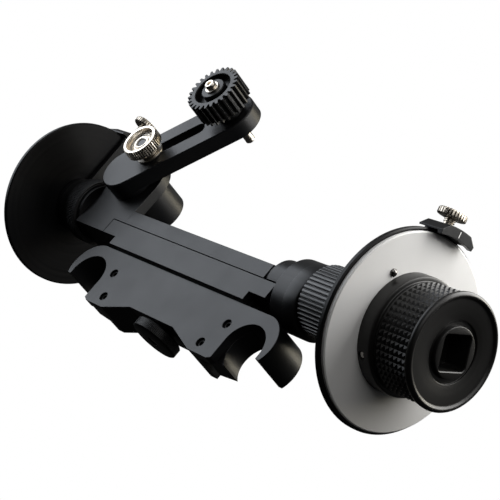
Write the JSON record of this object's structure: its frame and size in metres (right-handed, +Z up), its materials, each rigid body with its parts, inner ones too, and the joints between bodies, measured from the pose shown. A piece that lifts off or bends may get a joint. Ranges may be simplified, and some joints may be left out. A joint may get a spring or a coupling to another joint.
{
  "type": "follow focus unit",
  "caption": "Two-handed follow focus on a rod bracket: a cross shaft with knurled knobs and white marking discs, a swing arm with a lens gear, pointers and clamps.",
  "frame": {"origin": "midway between the axes of the two rods that carry the unit, in the middle of the bracket's depth", "axes": "+X along the main shaft towards the right-hand knob, +Y from the operator side back along the rods, +Z up from the rods to the arm"},
  "size_m": [0.2586, 0.0712, 0.1064],
  "materials": {
    "black_anodised": "satin black anodised",
    "knob_black": "black anodised, diamond knurled grip",
    "disc_white": "matt white, written on and wiped clean",
    "gear_plastic": "moulded black",
    "nickel": "nickel plated",
    "dark_steel": "blackened",
    "bright_steel": "ground",
    "bush_brass": "plain"
  },
  "bodies": {
    "base": {"rod_bracket": "black_anodised", "bracket_screw_1": "dark_steel", "bracket_screw_2": "dark_steel", "bracket_screw_3": "dark_steel", "bracket_screw_4": "dark_steel", "housing": "black_anodised", "front_plate": "black_anodised", "stop_screw": "dark_steel", "bush_right": "bush_brass", "bush_left": "bush_brass", "gearbox_housing": "black_anodised", "drum_cover": "black_anodised", "pivot_ring": "black_anodised"},
    "drive": {"main_shaft": "bright_steel", "wheel_right": "black_anodised", "marking_disc_right": "disc_white", "index_pin_right": "dark_steel", "knob_right": "knob_black", "drive_socket_right": "knob_black", "set_screw_right": "dark_steel", "wheel_left": "black_anodised", "marking_disc_left": "disc_white", "index_pin_left": "dark_steel", "knob_left": "knob_black", "drive_socket_left": "knob_black", "set_screw_left": "dark_steel"},
    "output": {"output_shaft": "bright_steel"},
    "arm": {"swing_arm": "black_anodised"},
    "lock": {"lock_knob": "nickel", "lock_stud": "nickel", "lock_washer": "nickel"},
    "gear": {"drive_gear": "gear_plastic", "gear_axle": "nickel", "gear_spacer": "gear_plastic", "gear_screw": "nickel", "gear_washer": "nickel"},
    "clamp": {"clamp_knob": "black_anodised", "clamp_screw": "bright_steel"},
    "wedge": {"clamp_wedge": "bright_steel"},
    "jaw_right": {"clamp_jaw_right": "black_anodised"},
    "jaw_left": {"clamp_jaw_left": "black_anodised"},
    "pointer_arm_right": {"pointer_hub_right": "black_anodised", "pointer_right": "black_anodised"},
    "pointer_arm_left": {"pointer_hub_left": "black_anodised", "pointer_left": "black_anodised"},
    "thumb_right": {"thumbscrew_right": "nickel"},
    "thumb_left": {"thumbscrew_left": "nickel"}
  },
  "joints": [
    {"name": "focus_spin", "type": "hinge", "parent": "base", "child": "drive", "pos_m": [0, -0.001, 0.0305], "axis": [1, 0, 0], "continuous": true},
    {"name": "output_spin", "type": "hinge", "parent": "base", "child": "output", "pos_m": [-0.06835, -0.001, 0.0455], "axis": [0, -1, 0], "continuous": true},
    {"name": "arm_swing", "type": "hinge", "parent": "base", "child": "arm", "pos_m": [-0.06835, -0.001, 0.0455], "axis": [0, -1, 0], "range_deg": [-54, 65]},
    {"name": "lock_turn", "type": "hinge", "parent": "arm", "child": "lock", "pos_m": [-0.05967, -0.02, 0.0557], "axis": [0, -1, 0], "range_deg": [0, 360]},
    {"name": "gear_spin", "type": "hinge", "parent": "arm", "child": "gear", "pos_m": [-0.03497, -0.02, 0.08472], "axis": [0, -1, 0], "continuous": true},
    {"name": "clamp_turn", "type": "hinge", "parent": "base", "child": "clamp", "pos_m": [0, 0, -0.008], "axis": [0, 0, 1], "range_deg": [0, 974]},
    {"name": "wedge_slide", "type": "slide", "parent": "base", "child": "wedge", "axis": [0, 0, 1], "range_m": [-0.0034, 0]},
    {"name": "jaw_right_slide", "type": "slide", "parent": "base", "child": "jaw_right", "axis": [1, 0, 0], "range_m": [-0.0034, 0]},
    {"name": "jaw_left_slide", "type": "slide", "parent": "base", "child": "jaw_left", "axis": [-1, 0, 0], "range_m": [-0.0034, 0]},
    {"name": "pointer_right_turn", "type": "hinge", "parent": "base", "child": "pointer_arm_right", "pos_m": [0.09, -0.001, 0.0305], "axis": [1, 0, 0], "continuous": true},
    {"name": "pointer_left_turn", "type": "hinge", "parent": "base", "child": "pointer_arm_left", "pos_m": [-0.09, -0.001, 0.0305], "axis": [1, 0, 0], "continuous": true},
    {"name": "thumb_right_turn", "type": "hinge", "parent": "pointer_arm_right", "child": "thumb_right", "pos_m": [0.10125, -0.01509, 0.07007], "axis": [0, -0.3355, 0.9421], "range_deg": [0, 360]},
    {"name": "thumb_left_turn", "type": "hinge", "parent": "pointer_arm_left", "child": "thumb_left", "pos_m": [-0.10485, -0.00208, 0.07449], "axis": [0, -0.0244, 0.9997], "range_deg": [0, 360]}
  ],
  "couplings": [
    {"joint": "output_spin", "follows": "focus_spin", "ratio": 1},
    {"joint": "gear_spin", "follows": "focus_spin", "ratio": 1},
    {"joint": "wedge_slide", "follows": "clamp_turn", "m_per_rad": -0.0002},
    {"joint": "jaw_right_slide", "follows": "clamp_turn", "m_per_rad": -0.0002},
    {"joint": "jaw_left_slide", "follows": "clamp_turn", "m_per_rad": -0.0002}
  ]
}
